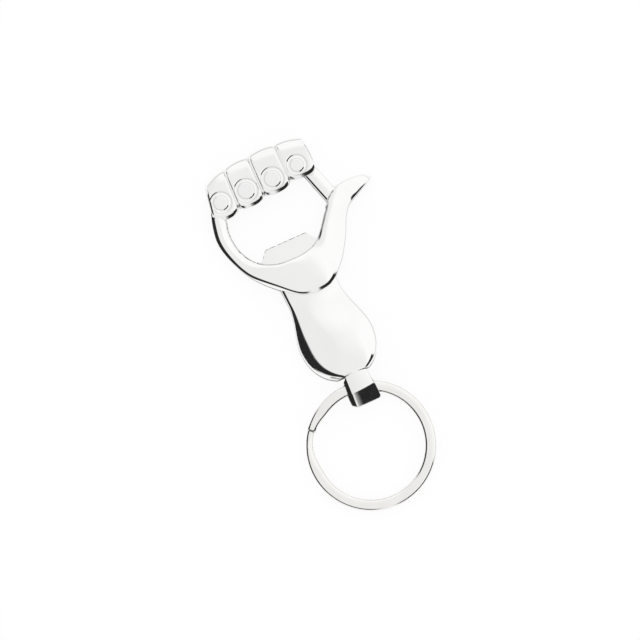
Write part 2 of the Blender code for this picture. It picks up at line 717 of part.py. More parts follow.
def build_ring(parts):
    """Wind the split ring: a flat band of two turns that climbs one layer past its split."""
    end_gap = SPLIT_END_GAP / RING_MID_RADIUS
    split = SPLIT_ANGLE + RING_LEAN
    first = split + JOG_ANGLE - 2 * math.pi + end_gap
    last = split + 2 * math.pi - end_gap
    steps = round(RING_STEPS_PER_TURN * (last - first) / (2 * math.pi))
    sections = [band_section(first + (last - first) * step / steps, first, last) for step in range(steps + 1)]
    ring = loft("split_ring", sections, parts)
    reach = math.hypot(AXIS_TO_RING_CENTRE + RING_OUTER_RADIUS, BAND_STACK / 2)
    droop = math.asin(SWIVEL_Z / reach) - math.asin(BAND_STACK / 2 / reach)
    ring.location = (HEEL_CENTRE_X, SWING_AXIS_Y, SWIVEL_Z)
    ring.rotation_euler = (droop, 0.0, -RING_LEAN)
    ring.data.materials.append(new_material("drawn_ring_steel", (0.82, 0.81, 0.78), 1.0, 0.16))
    smooth(ring, math.radians(35.0))
    print(f"least gap between the ring's turns: {least_turn_gap(first, last) / MM:.2f} mm")
    return ring


def main():
    """Build the opener: the casting and its rivet, the link and the ring."""
    clear_scene()
    parts = new_collection("keychain_bottle_opener")
    tools = new_collection("cutters")
    build_opener_body(parts, tools)
    build_rivet(parts)
    build_link(parts, tools)
    build_ring(parts)


main()
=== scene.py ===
"""Looks of the keychain bottle opener: plated casting, swivel link on its rivet, and split ring.

Each sub-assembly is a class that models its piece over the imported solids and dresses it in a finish.
Lengths are in metres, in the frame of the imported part: +X runs to the thumb, +Y to the fingers and
+Z out of the front.
"""

import logging
import math
from abc import ABC, abstractmethod
from dataclasses import dataclass
from enum import Enum
from functools import reduce
from operator import or_
from typing import Any, Callable, NamedTuple, Sequence

import bmesh
import bpy
from mathutils import Matrix, Vector


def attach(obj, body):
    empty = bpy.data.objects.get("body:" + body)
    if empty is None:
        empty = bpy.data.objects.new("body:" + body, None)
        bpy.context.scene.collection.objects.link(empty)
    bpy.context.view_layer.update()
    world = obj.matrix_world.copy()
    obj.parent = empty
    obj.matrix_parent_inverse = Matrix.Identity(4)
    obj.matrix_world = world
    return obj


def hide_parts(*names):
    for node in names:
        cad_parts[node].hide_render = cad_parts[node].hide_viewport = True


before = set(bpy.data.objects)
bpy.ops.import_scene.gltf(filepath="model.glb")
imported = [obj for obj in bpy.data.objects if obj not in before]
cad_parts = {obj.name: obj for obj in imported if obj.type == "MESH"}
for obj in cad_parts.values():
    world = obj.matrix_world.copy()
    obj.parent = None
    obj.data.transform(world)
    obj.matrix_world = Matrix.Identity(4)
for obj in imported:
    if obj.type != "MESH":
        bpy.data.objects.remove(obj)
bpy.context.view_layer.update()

MM = 0.001
TINY = 1e-6
WHITE = (1.0, 1.0, 1.0, 1.0)
BLACK = (0.0, 0.0, 0.0, 1.0)
LOG = logging.getLogger("bottle_opener")

Section = list[Vector]


def mm(*values: float) -> tuple[float, ...]:
    """Turn a row of millimetres into metres."""
    return tuple(value * MM for value in values)


def lift(height: float) -> Vector:
    """Return a step straight up."""
    return Vector((0.0, 0.0, height))


def bunched(count: int) -> list[float]:
    """Return steps from -1 to 1 that lie closer together towards both ends."""
    return [-math.cos(math.pi * step / count) for step in range(count + 1)]


def blend(start: float, end: float, share: float) -> float:
    """Go a share of the way from one value to another."""
    return start + (end - start) * share


def ease(start: float, end: float, share: float) -> float:
    """Ease from one value to another as the share goes from 0 to 1."""
    share = min(max(share, 0.0), 1.0)
    return blend(start, end, share * share * (3 - 2 * share))


def spline_through(values: Sequence[Vector], steps: int) -> list[Vector]:
    """Read points off a smooth curve through vectors.

    Args:
        values: The vectors that the curve passes through.
        steps: How many points are read between one vector and the next.

    Returns:
        The points, with the first and the last vector among them.
    """
    ends = [values[0] * 2 - values[1], *values, values[-1] * 2 - values[-2]]
    points = []
    for before, start, end, after in zip(ends, ends[1:], ends[2:], ends[3:]):
        for step in range(steps):
            share = step / steps
            lean = (end - before) * share + (before * 2 - start * 5 + end * 4 - after) * share**2
            bow = (start * 3 - before - end * 3 + after) * share**3
            points.append(start + (lean + bow) * 0.5)
    return [*points, values[-1].copy()]


def disc_section(centre: Vector, radius: float, count: int) -> Section:
    """Return a circle of points that faces along Y."""
    turns = [2 * math.pi * index / count for index in range(count)]
    return [centre + Vector((radius * math.cos(turn), 0.0, radius * math.sin(turn))) for turn in turns]


class Bench:
    """The steps that shape a mesh by hand in edit mode."""

    @staticmethod
    def clear_selection() -> None:
        """Leave nothing selected and no object in edit mode."""
        if bpy.context.object and bpy.context.object.mode != "OBJECT":
            bpy.ops.object.mode_set(mode="OBJECT")
        bpy.ops.object.select_all(action="DESELECT")

    @staticmethod
    def pick(piece: bpy.types.Object) -> None:
        """Make one object the only selected one, and the active one.

        Args:
            piece: The object to work on.
        """
        Bench.clear_selection()
        piece.select_set(True)
        bpy.context.view_layer.objects.active = piece

    @staticmethod
    def place_face(piece: bpy.types.Object, section: Section) -> None:
        """Move the corners of the one selected face to the points of a section.

        Args:
            piece: The object, in edit mode.
            section: As many points as the face has corners.
        """
        shape = bmesh.from_edit_mesh(piece.data)
        face = next(face for face in shape.faces if face.select)
        for corner, point in zip(face.loops, section):
            corner.vert.co = point
        bmesh.update_edit_mesh(piece.data)

    @staticmethod
    def extrude_through(name: str, sections: Sequence[Section]) -> bpy.types.Object:
        """Start from a filled circle and extrude it through a row of sections into a closed body.

        Args:
            name: The piece's name.
            sections: Closed sections that all have the same number of points.

        Returns:
            The new object, with its faces pointing outwards.
        """
        Bench.clear_selection()
        bpy.ops.mesh.primitive_circle_add(vertices=len(sections[0]), radius=MM, fill_type="NGON")
        piece = bpy.context.object
        piece.name = piece.data.name = name
        bpy.ops.object.mode_set(mode="EDIT")
        bpy.ops.mesh.select_mode(type="FACE")
        bpy.ops.mesh.select_all(action="SELECT")
        Bench.place_face(piece, sections[0])
        for section in sections[1:]:
            bpy.ops.mesh.extrude_region_move()
            Bench.place_face(piece, section)
        bpy.ops.mesh.select_all(action="SELECT")
        bpy.ops.mesh.normals_make_consistent(inside=False)
        bpy.ops.object.mode_set(mode="OBJECT")
        return piece

    @staticmethod
    def apply(piece: bpy.types.Object, kind: str, **settings: Any) -> None:
        """Add a modifier, set it up and apply it.

        Args:
            piece: The object to change.
            kind: The modifier's type.
            settings: The modifier's values.
        """
        Bench.pick(piece)
        modifier = piece.modifiers.new(kind.lower(), kind)
        for key, value in settings.items():
            setattr(modifier, key, value)
        bpy.ops.object.modifier_apply(modifier=modifier.name)

    @staticmethod
    def cut(piece: bpy.types.Object, cutter: bpy.types.Object) -> None:
        """Cut one body away from another and throw the cutter away."""
        Bench.apply(piece, "BOOLEAN", operation="DIFFERENCE", object=cutter, solver="EXACT")
        bpy.data.objects.remove(cutter, do_unlink=True)

    @staticmethod
    def fuse(pieces: Sequence[bpy.types.Object], name: str) -> bpy.types.Object:
        """Fuse several closed bodies into the first one.

        Args:
            pieces: The bodies, which overlap.
            name: The name of the fused body.

        Returns:
            The fused body.
        """
        fused = pieces[0]
        for piece in pieces[1:]:
            Bench.apply(fused, "BOOLEAN", operation="UNION", object=piece, solver="EXACT")
            bpy.data.objects.remove(piece, do_unlink=True)
        fused.name = fused.data.name = name
        return fused

    @staticmethod
    def trim_below(piece: bpy.types.Object, height: float) -> None:
        """Slice a closed body flat at a height and keep what stands above.

        Args:
            piece: The body to slice.
            height: The height of the cut.
        """
        Bench.pick(piece)
        bpy.ops.object.mode_set(mode="EDIT")
        bpy.ops.mesh.select_all(action="SELECT")
        bpy.ops.mesh.bisect(
            plane_co=(0.0, 0.0, height),
            plane_no=(0.0, 0.0, 1.0),
            use_fill=True,
            clear_inner=True,
            threshold=1e-7,
        )
        bpy.ops.object.mode_set(mode="OBJECT")

    @staticmethod
    def select_faces(piece: bpy.types.Object, wanted: Callable[[Vector], bool]) -> None:
        """Select the faces whose centre passes a test.

        Args:
            piece: The object, in edit mode.
            wanted: Tells whether a face with this centre is selected.
        """
        shape = bmesh.from_edit_mesh(piece.data)
        for face in shape.faces:
            face.select_set(wanted(face.calc_center_median()))
        shape.select_flush_mode()
        bmesh.update_edit_mesh(piece.data)

    @staticmethod
    def bevel(piece: bpy.types.Object, width: float, angle: float) -> None:
        """Round the edges of a piece that are sharper than an angle in degrees."""
        limit = math.radians(angle)
        Bench.apply(piece, "BEVEL", width=width, segments=2, limit_method="ANGLE", angle_limit=limit)

    @staticmethod
    def shade(piece: bpy.types.Object, angle: float) -> None:
        """Shade a piece smooth, with edges sharper than an angle in degrees kept."""
        Bench.pick(piece)
        bpy.ops.object.shade_smooth_by_angle(angle=math.radians(angle))


def turned_body(
    name: str, start: Sequence[float], profile: Sequence[tuple[float, float]], sides: int
) -> bpy.types.Object:
    """Extrude a body through circles along Y.

    Args:
        name: The body's name.
        start: The point on the axis that the profile is measured from.
        profile: The radius of each circle and its reach along Y, in millimetres.
        sides: How many corners each circle has.

    Returns:
        The new object.
    """
    x, y, z = start
    sections = []
    for radius, reach in profile:
        sections.append(disc_section(Vector((x, y + reach * MM, z)), radius * MM, sides))
    return Bench.extrude_through(name, sections)


class Value:
    """A shader socket that Python's operators turn into Math nodes."""

    def __init__(self, graph: "Graph", socket: bpy.types.NodeSocket) -> None:
        """Wrap an output socket of a graph."""
        self.graph = graph
        self.socket = socket

    def _math(self, operation: str, first: Any, second: Any) -> "Value":
        """Add one Math node."""
        return self.graph.node("ShaderNodeMath", {"operation": operation}, {0: first, 1: second})

    def __add__(self, other: Any) -> "Value":
        """Add a number or another value."""
        return self._math("ADD", self, other)

    def __radd__(self, other: Any) -> "Value":
        """Add this value to a number."""
        return self._math("ADD", other, self)

    def __sub__(self, other: Any) -> "Value":
        """Take a number or another value away."""
        return self._math("SUBTRACT", self, other)

    def __rsub__(self, other: Any) -> "Value":
        """Take this value away from a number."""
        return self._math("SUBTRACT", other, self)

    def __mul__(self, other: Any) -> "Value":
        """Multiply by a number or another value."""
        return self._math("MULTIPLY", self, other)

    def __truediv__(self, other: Any) -> "Value":
        """Divide by a number or another value."""
        return self._math("DIVIDE", self, other)

    def __pow__(self, other: Any) -> "Value":
        """Raise to a power."""
        return self._math("POWER", self, other)

    def __or__(self, other: Any) -> "Value":
        """Take the larger of two masks."""
        return self._math("MAXIMUM", self, other)

    def __abs__(self) -> "Value":
        """Drop the sign."""
        return self._math("ABSOLUTE", self, 0.0)

    def step(self, low: float, high: float) -> "Value":
        """Rise smoothly from 0 to 1 between two levels, or fall where the first is the higher.

        Args:
            low: The level of 0.
            high: The level of 1.

        Returns:
            The mask.
        """
        ends = {"From Min": low, "From Max": high, "To Min": 0.0, "To Max": 1.0}
        if low > high:
            ends = {"From Min": high, "From Max": low, "To Min": 1.0, "To Max": 0.0}
        return self.graph.node(
            "ShaderNodeMapRange", {"interpolation_type": "SMOOTHSTEP"}, {"Value": self, **ends}
        )


class Graph:
    """A node tree under construction."""

    def __init__(self, owner: bpy.types.Material | bpy.types.World) -> None:
        """Start a node tree afresh.

        Args:
            owner: The material or world that the tree belongs to.
        """
        owner.use_nodes = True
        self.tree = owner.node_tree
        self.tree.nodes.clear()

    def node(
        self, kind: str, settings: dict[str, Any], inputs: dict[str | int, Any], output: str | int = 0
    ) -> Value:
        """Add a node, set it up and feed its sockets.

        Args:
            kind: The node's type.
            settings: Values of the node itself, such as an operation.
            inputs: Values or links, by a socket's name or place.
            output: The socket that is returned, by name or place.

        Returns:
            The wrapped output socket.
        """
        node = self.tree.nodes.new(kind)
        for key, value in settings.items():
            setattr(node, key, value)
        for key, value in inputs.items():
            if isinstance(value, Value):
                self.tree.links.new(value.socket, node.inputs[key])
            else:
                node.inputs[key].default_value = value
        return Value(self, node.outputs[output]) if node.outputs else Value(self, None)

    def parts(self, vector: Value) -> tuple[Value, Value, Value]:
        """Split a vector into its three numbers.

        Args:
            vector: The vector to split.

        Returns:
            Its X, Y and Z.
        """
        split = self.node("ShaderNodeSeparateXYZ", {}, {"Vector": vector})
        outputs = split.socket.node.outputs
        return Value(self, outputs[0]), Value(self, outputs[1]), Value(self, outputs[2])

    def own(self) -> Value:
        """Read the piece's own coordinates."""
        return self.node("ShaderNodeTexCoord", {}, {}, "Object")

    def noise(self, place: Value, scale: float, detail: float = 2.0) -> Value:
        """Return soft noise from 0 to 1, with a given number of features to the metre."""
        inputs = {"Vector": place, "Scale": scale, "Detail": detail}
        return self.node("ShaderNodeTexNoise", {}, inputs, "Fac")

    def mix(self, share: Value, first: Any, second: Any) -> Value:
        """Mix two colours, by the sockets of the Mix node that carry colours."""
        return self.node("ShaderNodeMix", {"data_type": "RGBA"}, {0: share, 6: first, 7: second}, 2)

    def bump(self, height: Value, strength: float, reach: float) -> Value:
        """Return normals that are bent by a height."""
        inputs = {"Strength": strength, "Distance": reach, "Height": height}
        return self.node("ShaderNodeBump", {}, inputs)

    def metal(self, colour: Value, roughness: Value, normal: Value) -> None:
        """Close the tree as bare metal.

        Args:
            colour: The metal's colour.
            roughness: How dull the metal is.
            normal: The bent normals.
        """
        inputs = {"Base Color": colour, "Metallic": 1.0, "Roughness": roughness, "Normal": normal}
        shader = self.node("ShaderNodeBsdfPrincipled", {}, inputs)
        self.node("ShaderNodeOutputMaterial", {}, {"Surface": shader})


@dataclass(frozen=True)
class PlateFinish:
    """A bright plated metal: its tint, its gloss, its marks, and painted shade lines round raised discs,
    where their grooves fall dark.
    """

    name: str
    tint: tuple[float, float, float]
    shade: tuple[float, float, float]
    roughness: float
    haze: float
    ripple: float
    scratch: float
    discs: tuple[tuple[float, ...], ...] = ()
    cloud_scale: float = 90.0
    cloud_levels: tuple[float, float] = (0.35, 0.7)
    haze_scale: float = 260.0
    haze_levels: tuple[float, float] = (0.42, 0.72)
    ripple_scale: float = 420.0
    ripple_reach: float = 0.02 * MM
    hair_scale: float = 420.0
    hair_levels: tuple[float, float] = (0.66, 0.74)
    hair_stretches: tuple[tuple[float, float, float], ...] = ((1.0, 14.0, 1.0), (11.0, 1.5, 1.0))
    hair_depth: float = 0.15
    ring_gap: float = 0.9 * MM
    ring_width: float = 0.2 * MM
    ring_floor: float = 4.0 * MM
    groove_shade_strength: float = 0.5
    # Painted shade: the grey of the lines drawn round each nail, standing for the dark shading of its
    # groove.
    groove_shade_tint: tuple[float, float, float] = (0.42, 0.41, 0.37)

    def material(self) -> bpy.types.Material:
        """Make the plated metal: cloudy tint, patches of haze, hairline scratches, a cast ripple and
        painted shade round the nails.

        Returns:
            The material.
        """
        material = bpy.data.materials.new(self.name)
        graph = Graph(material)
        own = graph.own()
        cloud = graph.noise(own, self.cloud_scale, detail=3.0).step(*self.cloud_levels)
        patches = graph.noise(own, self.haze_scale, detail=4.0).step(*self.haze_levels)
        hairs = self._hairlines(graph, own)
        colour = graph.mix(cloud, (*self.shade, 1.0), (*self.tint, 1.0))
        # Painted shade: darken the base colour in thin lines round each nail, where its groove falls dark.
        if self.discs:
            shade_lines = self._painted_groove_shade(graph, own)
            colour = graph.mix(shade_lines * self.groove_shade_strength, colour, (*self.groove_shade_tint, 1.0))
        roughness = self.roughness + patches * self.haze + hairs * self.scratch
        height = graph.noise(own, self.ripple_scale, detail=1.0) - hairs * self.hair_depth
        graph.metal(colour, roughness, graph.bump(height, self.ripple, self.ripple_reach))
        return material

    def _painted_groove_shade(self, graph: Graph, own: Value) -> Value:
        """Draw the two fine lines of painted shade round each raised disc, where its groove falls dark.

        Args:
            graph: The material's tree.
            own: The piece's own coordinates.

        Returns:
            The mask of the painted shade lines.
        """
        x, y, z = graph.parts(own)
        half_gap = self.ring_gap / 2
        shade_lines = []
        for disc_x, disc_y, radius in self.discs:
            east, north = x - disc_x, y - disc_y
            distance = (east * east + north * north) ** 0.5
            off_ring = abs(abs(distance - (radius + half_gap)) - half_gap)
            shade_lines.append(off_ring.step(self.ring_width, 0.0))
        return reduce(or_, shade_lines) * z.step(self.ring_floor, self.ring_floor + MM)

    def _hairlines(self, graph: Graph, own: Value) -> Value:
        """Draw hairline scratches that run in two directions.

        Args:
            graph: The material's tree.
            own: The piece's own coordinates.

        Returns:
            The mask of the scratches.
        """
        lines = []
        for stretch in self.hair_stretches:
            place = graph.node("ShaderNodeMapping", {}, {"Vector": own, "Scale": stretch})
            lines.append(graph.noise(place, self.hair_scale).step(*self.hair_levels))
        return reduce(or_, lines)


@dataclass(frozen=True)
class RoundGrainFinish:
    """A bright metal whose fine tool or draw marks run in circles about an axis."""

    name: str
    tint: tuple[float, float, float]
    shade: tuple[float, float, float]
    roughness: float
    grain_roughness: float
    grain_depth: float
    marks: float
    centre: tuple[float, ...]
    turn: tuple[float, float, float]
    grain_run: float = 1.3
    grain_share: float = 0.4
    grain_reach: float = 0.01 * MM
    wear_scale: float = 700.0
    wear_levels: tuple[float, float] = (0.5, 0.75)
    cloud_scale: float = 150.0
    cloud_levels: tuple[float, float] = (0.35, 0.7)

    def material(self) -> bpy.types.Material:
        """Make the metal: marks that follow the circles, a cloudy tint and small worn patches.

        Returns:
            The material.
        """
        material = bpy.data.materials.new(self.name)
        graph = Graph(material)
        own = graph.own()
        local = graph.node(
            "ShaderNodeMapping",
            {"vector_type": "TEXTURE"},
            {"Vector": own, "Location": self.centre, "Rotation": self.turn},
        )
        x, y, z = graph.parts(local)
        radius = (x * x + y * y) ** 0.5
        angle = graph.node("ShaderNodeMath", {"operation": "ARCTAN2"}, {0: y, 1: x})
        along = {"X": radius * self.marks, "Y": angle * self.grain_run, "Z": z * self.marks}
        grain = graph.noise(graph.node("ShaderNodeCombineXYZ", {}, along), 1.0, detail=3.0)
        wear = graph.noise(own, self.wear_scale, detail=3.0).step(*self.wear_levels)
        cloud = graph.noise(own, self.cloud_scale).step(*self.cloud_levels)
        blend = cloud * (1 - self.grain_share) + grain * self.grain_share
        colour = graph.mix(blend, (*self.shade, 1.0), (*self.tint, 1.0))
        roughness = self.roughness + grain * self.grain_roughness + wear * self.grain_roughness
        graph.metal(colour, roughness, graph.bump(grain, self.grain_depth, self.grain_reach))
        return material


class Crown(NamedTuple):
    """What the crowned shapes share: their slopes, their rim, the stock below the back and their limits."""

    slope: float
    belly: float
    rim: float
    stock: float
    rim_limit: float = 0.3
    drop_limit: float = 0.6
    undercut_limit: float = 1 / 3
    steps: int = 40


def crowned_section(
    left: Vector,
    right: Vector,
    crest: float,
    powers: tuple[float, float],
    crown: Crown,
    undercut: float = 0.0,
) -> Section:
    """Return a section with upright sides and a crowned top, carried down below the back.

    Args:
        left: The foot of the left side, on the back.
        right: The foot of the right side, on the back.
        crest: The height of the middle.
        powers: How flat the crown is to the left and to the right: 2 is round, and more is flatter.
        crown: What all crowned shapes of the casting share.
        undercut: How far the left side is drawn in at its foot.

    Returns:
        The points from the left foot over the crown to the right foot.
    """
    middle = (left + right) / 2
    half = (right - left) / 2
    inset = 1 - min(crown.rim / half.length, crown.rim_limit)
    belly = crown.belly * half.length / 2
    drops = [min(crown.slope * half.length / power, crown.drop_limit * crest) for power in powers]
    foot = left + half.normalized() * min(undercut, half.length * crown.undercut_limit)
    section = [foot - lift(crown.stock), left + lift(crest - belly - drops[0] - crown.rim)]
    for step in bunched(crown.steps):
        across = step * inset
        side = int(across > 0)
        rise = crest - belly * across**2 - drops[side] * abs(across) ** powers[side]
        section.append(middle + half * across + lift(rise))
    section.append(right + lift(crest - belly - drops[1] - crown.rim))
    section.append(right - lift(crown.stock))
    return section


class Station(NamedTuple):
    """One section of the palm: its edges and crest in millimetres, its crown's power and rim slope."""

    outer: tuple[float, float]
    inner: tuple[float, float]
    crest: float
    power: float
    slope: float = 1.06


class Finger(NamedTuple):
    """One curled finger, in millimetres: its sides, its notches, its tip, its knuckle and its nail."""

    left_low: float
    left_top: float
    right_low: float
    right_top: float
    left_notch: float
    right_notch: float
    tip: float
    knuckle_left: float
    knuckle_right: float
    height: float
    nail: tuple[float, float, float]


@dataclass
class SubAssembly(ABC):
    """What the sub-assemblies share: the names that tie a piece to the frame, and how it is dressed."""

    name: str
    node: str
    body: str
    slot: str

    @abstractmethod
    def build(self) -> bpy.types.Object:
        """Model the finished piece."""

    def dress(self, piece: bpy.types.Object, finish: "Finish") -> None:
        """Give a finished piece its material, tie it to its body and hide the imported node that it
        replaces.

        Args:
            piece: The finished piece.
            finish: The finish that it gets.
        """
        piece.data.materials.clear()
        piece.data.materials.append(finish.value.material())
        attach(piece, self.body)
        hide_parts(self.node)
        LOG.info("%s: %d faces, %s", piece.name, len(piece.data.polygons), finish.name.lower())


@dataclass
class OpenerCasting(SubAssembly):
    """The plated hand: forearm, palm, thumb, loop bars, pry lip and four curled fingers in one casting."""

    name: str = "hand_casting"
    node: str = "opener_body"
    body: str = "casting"
    slot: str = "plated_casting"
    crown: Crown = Crown(1.06, 0.06, 0.08 * MM, 1.5 * MM)
    heel_reach: float = 14.15 * MM
    bulge_reach: float = 4.6 * MM
    wrist_reach: float = 7.5 * MM
    root_reach: float = 15.0 * MM
    heel_size: tuple[float, float] = mm(8.4, 5.6)
    bulge_size: tuple[float, float] = mm(18.85, 6.6)
    wrist_size: tuple[float, float] = mm(13.65, 5.4)
    heel_x: float = 1.35 * MM
    wrist_x: float = 0.42 * MM
    heel_round_power: float = 2.2
    heel_fall_power: float = 3.0
    bulge_powers: tuple[float, float] = (3.1, 8.0)
    wrist_powers: tuple[float, float] = (8.0, 12.0)
    palm_undercut: float = 0.35 * MM
    palm_stations: tuple[Station, ...] = (
        Station((-14.0, 38.0), (-11.1, 37.5), 6.3, 1.9),
        Station((-15.5, 33.4), (-11.65, 33.0), 5.8, 1.9),
        Station((-16.1, 28.8), (-12.3, 29.0), 4.8, 1.9),
        Station((-15.05, 24.05), (-11.5, 24.5), 4.4, 2.1),
        Station((-12.25, 18.03), (-9.0, 20.6), 4.9, 2.8),
        Station((-7.43, 12.55), (-5.0, 18.4), 6.4, 4.5, 1.5),
        Station((-2.05, 8.35), (-1.2, 17.7), 7.2, 6.5, 1.2),
        Station((4.7, 7.9), (2.6, 17.8), 7.4, 6.5),
        Station((9.7, 11.6), (6.0, 19.1), 7.2, 4.5),
        Station((13.5, 17.2), (8.6, 21.8), 6.8, 4.5),
        Station((15.9, 22.0), (11.0, 24.9), 6.2, 4.0),
        Station((18.25, 24.72), (13.4, 28.0), 5.7, 3.4),
        Station((20.85, 26.12), (17.0, 30.2), 5.1, 4.0),
        Station((23.65, 27.57), (21.2, 30.45), 4.3, 4.2),
        Station((24.95, 28.33), (23.8, 30.0), 3.5, 3.6),
        Station((25.5, 28.87), (25.2, 29.4), 2.0, 2.6),
    )
    bar_foot: tuple[float, float] = mm(14.8, 28.0)
    bar_head: tuple[float, float] = mm(11.7, 38.0)
    bar_width: float = 3.7 * MM
    bar_height: float = 3.2 * MM
    bar_powers: tuple[float, float] = (2.9, 4.0)
    fingers: tuple[Finger, ...] = (
        Finger(-14.8, -12.95, -7.7, -7.35, 35.5, 35.5, 33.1, 42.9, 44.75, 6.7, (-11.2, 37.5, 1.8)),
        Finger(-7.7, -7.35, -0.75, -0.6, 35.5, 35.7, 33.5, 44.75, 45.15, 7.1, (-4.3, 37.7, 2.05)),
        Finger(-0.75, -0.6, 6.6, 6.65, 35.7, 36.4, 34.0, 45.25, 45.25, 7.3, (2.8, 37.7, 2.0)),
        Finger(6.6, 6.65, 14.1, 13.45, 36.4, 37.4, 35.0, 45.35, 44.2, 7.0, (9.7, 38.4, 1.65)),
    )
    finger_crown: float = 0.5 * MM
    finger_overlap: float = 0.15 * MM
    lobe_power: float = 2.4
    front_fall: float = 0.7 * MM
    tip_run: float = 1.5 * MM
    tip_drop: float = 0.8 * MM
    tip_undercut: float = 1.15 * MM
    knuckle_run: float = 2.6 * MM
    knuckle_drop: float = 1.4 * MM
    divider_run: float = 0.8 * MM
    divider_drop: float = 0.95 * MM
    flank_run: float = 0.55 * MM
    flank_slope: float = 0.76
    flank_foot_run: float = 0.1 * MM
    flank_foot_slope: float = 5.0
    nail_groove_width: float = 1.5 * MM
    nail_groove_depth: float = 0.27 * MM
    nail_groove_shift: float = 1 / 3
    nail_front_normal: float = 0.96
    nail_front_depth: float = 2.0 * MM
    nail_reach: float = 1.4
    nail_cuts: int = 3
    lip_rows: tuple[tuple[float, float], ...] = (
        (-8.1, 16.5), (7.1, 16.5), (7.1, 20.2), (4.9, 22.8), (-5.9, 22.8), (-8.1, 20.2),
    )
    lip_height: float = 1.9 * MM
    lip_edge: tuple[float, float] = mm(0.13, 0.11)
    bore_profile: tuple[tuple[float, float], ...] = ((1.5, -1.5), (1.5, 6.8))
    bore_z: float = 3.268 * MM
    bore_sides: int = 32
    smooth_angle: float = 38.0

    def build(self) -> bpy.types.Object:
        """Model the casting: press the nails into the fingers, fuse the shapes and cut the back flat.

        Returns:
            The finished casting.
        """
        forearm = self._forearm()
        Bench.cut(forearm, self._rivet_bore())
        casting = Bench.fuse([self._palm(), forearm, self._bar(), self._lip()], self.name)
        fingers = [self._finger(finger) for finger in self.fingers]
        for piece, finger in zip(fingers, self.fingers):
            self._press_nail(piece, finger)
        casting = Bench.fuse([casting, *fingers], self.name)
        Bench.trim_below(casting, 0.0)
        Bench.shade(casting, self.smooth_angle)
        return casting

    def _palm(self) -> bpy.types.Object:
        """Run the palm from the little finger, round the heel of the hand, to the tip of the thumb.

        Returns:
            The body of the palm, the round bar and the thumb.
        """
        steps = 8
        stations = self.palm_stations
        outer = spline_through([Vector((*mm(*station.outer), 0.0)) for station in stations], steps)
        inner = spline_through([Vector((*mm(*station.inner), 0.0)) for station in stations], steps)
        tops = [Vector((station.crest, station.power, station.slope)) for station in stations]
        sections = []
        for foot, far, top in zip(outer, inner, spline_through(tops, steps)):
            crown = self.crown._replace(slope=top.z)
            powers = (top.y, top.y)
            sections.append(crowned_section(foot, far, top.x * MM, powers, crown, self.palm_undercut))
        return Bench.extrude_through("palm", sections)

    def _forearm(self) -> bpy.types.Object:
        """Run the forearm from its rounded heel over the bulge to the neck in the palm.

        Returns:
            The forearm's body.
        """
        steps = 60
        heel_width, heel_height = self.heel_size
        bulge_width, bulge_height = self.bulge_size
        heel_run = self.heel_reach - self.bulge_reach
        narrowing = (heel_run, heel_width / bulge_width, self.heel_round_power)
        falling = (heel_run, heel_height / bulge_height, self.heel_fall_power)
        sections = []
        for step in range(steps + 1):
            y = blend(-self.heel_reach, self.root_reach, step / steps)
            past_bulge = y + self.bulge_reach
            flattening = 0.0
            if past_bulge < 0:
                width = bulge_width * self._round_off(past_bulge, *narrowing)
                height = bulge_height * self._round_off(past_bulge, *falling)
            else:
                neck = past_bulge / (self.bulge_reach + self.wrist_reach)
                width = ease(bulge_width, self.wrist_size[0], neck)
                height = ease(bulge_height, self.wrist_size[1], neck)
                flattening = min(neck, 1.0) ** 2
            lean = (y + self.heel_reach) / (self.wrist_reach + self.heel_reach)
            centre = blend(self.heel_x, self.wrist_x, lean)
            left = Vector((centre - width / 2, y, 0.0))
            right = Vector((centre + width / 2, y, 0.0))
            ends = zip(self.bulge_powers, self.wrist_powers)
            powers = tuple(blend(bulge, wrist, flattening) for bulge, wrist in ends)
            sections.append(crowned_section(left, right, height, powers, self.crown))
        return Bench.extrude_through("forearm", sections)

    @staticmethod
    def _round_off(past: float, run: float, share: float, power: float) -> float:
        """Return what is left of a size past its largest place, if a share is left after the run."""
        reach = run / (1 - share**power) ** (1 / power)
        return (1 - abs(past / reach) ** power) ** (1 / power)

    def _rivet_bore(self) -> bpy.types.Object:
        """Make the cutter for the blind bore that holds the rivet's shank."""
        start = (self.heel_x, -self.heel_reach, self.bore_z)
        return turned_body("rivet_bore", start, self.bore_profile, self.bore_sides)

    def _bar(self) -> bpy.types.Object:
        """Run the straight bar from the thumb root to the index finger.

        Returns:
            The bar's body.
        """
        foot = Vector((*self.bar_foot, 0.0))
        head = Vector((*self.bar_head, 0.0))
        run = (head - foot).normalized()
        side = Vector((run.y, -run.x, 0.0)) * self.bar_width / 2
        sections = [
            crowned_section(end - side, end + side, self.bar_height, self.bar_powers, self.crown)
            for end in (foot, head)
        ]
        return Bench.extrude_through("loop_bar", sections)

    def _lip(self) -> bpy.types.Object:
        """Raise the pry lip, a flat tongue with a chamfered rim, from its outline.

        Returns:
            The lip's body.
        """
        outline = [Vector((*mm(*row), 0.0)) for row in self.lip_rows]
        low = Vector((min(point.x for point in outline), min(point.y for point in outline), 0.0))
        high = Vector((max(point.x for point in outline), max(point.y for point in outline), 0.0))
        middle = (low + high) / 2
        half = (high - low) / 2
        run, drop = self.lip_edge
        levels = ((-self.crown.stock, 0.0), (self.lip_height - drop, 0.0), (self.lip_height, run))
        sections = []
        for height, draw_in in levels:
            section = []
            for point in outline:
                away = point - middle
                inset = Vector((away.x * draw_in / half.x, away.y * draw_in / half.y, -height))
                section.append(point - inset)
            sections.append(section)
        return Bench.extrude_through("pry_lip", sections)

